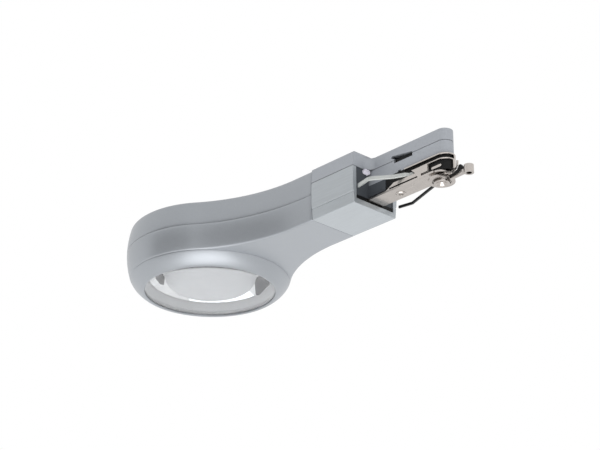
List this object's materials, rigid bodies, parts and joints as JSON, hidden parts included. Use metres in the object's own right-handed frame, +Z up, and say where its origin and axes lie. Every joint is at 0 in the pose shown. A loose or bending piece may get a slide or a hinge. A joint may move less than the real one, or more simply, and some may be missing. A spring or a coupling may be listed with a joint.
{
  "type": "rail spotlight",
  "caption": "Loupe-shaped LED spotlight head on a short flared neck, with a sprung adapter that clips into a low-voltage lighting rail and takes power from it.",
  "frame": {"origin": "middle of the adapter profile's end face, at the height of the middle of the profile, where the rail tongue starts", "axes": "+X along the tongue and away from the head, +Z up, the light shines down along -Z"},
  "size_m": [0.19, 0.0734, 0.028],
  "materials": {
    "silver_paint": "satin silver paint",
    "bezel_paint": "satin silver paint",
    "anodised": "brushed, natural anodised",
    "silver_plastic": "silver-grey moulded",
    "grey_plastic": "dark grey moulded",
    "web_plastic": "grey moulded",
    "pale_plastic": "pale moulded",
    "black_plastic": "black moulded",
    "black_rubber": "matt",
    "clear_lens": "clear, polished",
    "mirror_cone": "vacuum metallised",
    "opal": "opal white",
    "white_board": "white solder mask",
    "led_phosphor": "phosphor yellow",
    "thermal_pad": "soft pad",
    "raw_aluminium": "plain",
    "zinc_screw": "zinc plated",
    "green_board": "green solder mask",
    "blue_sleeve": "shrink sleeve",
    "copper_winding": "enamelled winding",
    "chip_epoxy": "moulded epoxy",
    "terminal_green": "moulded",
    "red_lead": "insulated wire",
    "black_lead": "insulated wire",
    "nickel": "bright nickel plated sheet",
    "tin_plate": "dull tin plated spring strip",
    "black_contact": "black coated spring strip"
  },
  "bodies": {
    "lamp": {"lower_shell": "silver_paint", "upper_shell": "silver_paint", "shell_screws": "zinc_screw", "bezel_ring": "bezel_paint", "lens_gasket": "black_rubber", "lens": "clear_lens", "lens_spacer": "opal", "lens_webs": "web_plastic", "reflector": "mirror_cone", "diffuser": "opal", "light_chamber": "opal", "led_board": "white_board", "leds": "led_phosphor", "thermal_pad": "thermal_pad", "heat_sink": "raw_aluminium", "heat_sink_screws": "zinc_screw", "led_board_screws": "zinc_screw", "driver_board": "green_board", "driver_board_screws": "zinc_screw", "capacitor": "blue_sleeve", "choke": "copper_winding", "driver_chip": "chip_epoxy", "input_terminal": "terminal_green", "lead_live": "red_lead", "lead_return": "black_lead", "led_lead_plus": "red_lead", "led_lead_minus": "black_lead", "profile_housing": "anodised", "top_cap": "silver_plastic", "insulating_insert": "grey_plastic", "tongue_base": "silver_plastic", "pole_carrier": "black_plastic", "neck_screws": "zinc_screw", "locating_stud": "pale_plastic", "bracket": "nickel", "spacer_block": "black_plastic", "front_rivet": "nickel", "end_clip": "nickel", "clip_insulator": "black_plastic", "terminal_leaf": "nickel", "base_liner": "black_plastic", "pivot_rivet": "nickel", "latch_washer": "nickel", "return_spring": "nickel", "contact_pin_left": "nickel", "contact_pin_right": "nickel"},
    "latch": {"latch_lever": "nickel", "latch_pad": "black_plastic"},
    "left_contact": {"contact_left": "tin_plate"},
    "right_contact": {"contact_right": "black_contact"}
  },
  "joints": [
    {"name": "latch_turn", "type": "hinge", "parent": "lamp", "child": "latch", "pos_m": [0.0359, 0.0005, -0.0106], "axis": [0, 0, 1], "range_deg": [-25, 25], "stiffness_Nm_per_rad": 0.05},
    {"name": "left_contact_press", "type": "hinge", "parent": "lamp", "child": "left_contact", "pos_m": [0.0225, -0.0019, -0.0042], "axis": [0, 0, -1], "range_deg": [0, 8], "stiffness_Nm_per_rad": 0.05},
    {"name": "right_contact_press", "type": "hinge", "parent": "lamp", "child": "right_contact", "pos_m": [0.0293, 0.006, -0.00695], "axis": [0, 0, 1], "range_deg": [0, 8], "stiffness_Nm_per_rad": 0.05}
  ]
}
